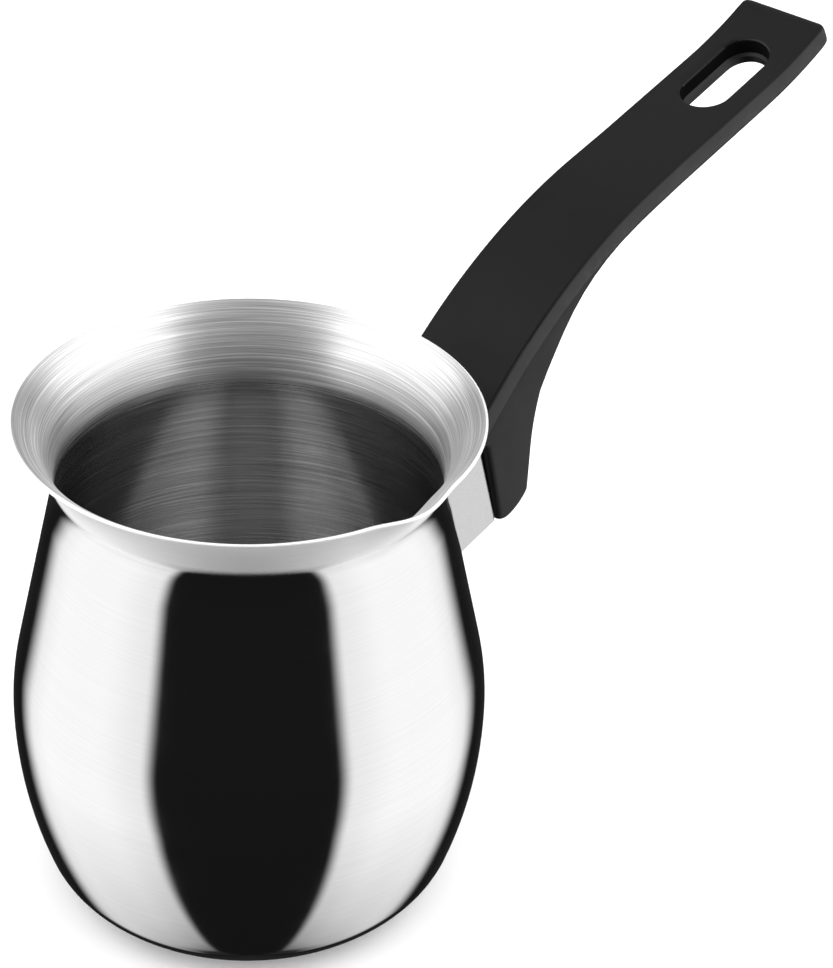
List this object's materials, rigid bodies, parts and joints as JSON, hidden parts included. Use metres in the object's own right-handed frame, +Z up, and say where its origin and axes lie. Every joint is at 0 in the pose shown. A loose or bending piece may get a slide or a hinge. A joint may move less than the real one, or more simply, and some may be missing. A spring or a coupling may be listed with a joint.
{
  "type": "turkish coffee pot cezve",
  "caption": "Bulbous steel coffee pot with a flared rim, a small pouring lip and a moulded black handle on a folded bracket.",
  "frame": {"origin": "centre of the flat base, on the surface the pot stands on", "axes": "+Z up along the pot's axis, +X towards the handle, the pouring lip near -Y"},
  "size_m": [0.2176, 0.095, 0.1404],
  "materials": {
    "polished_steel": "mirror polished outside, brushed in circles inside",
    "satin_steel": "satin",
    "plated_steel": "bright zinc plated",
    "black_phenolic": "smooth moulded, low gloss"
  },
  "bodies": {
    "root": {"pot_body": "polished_steel", "handle_bracket": "satin_steel", "captive_nut": "plated_steel", "handle_screw": "plated_steel", "flat_washer": "plated_steel", "spring_washer": "plated_steel", "handle": "black_phenolic"}
  },
  "joints": []
}
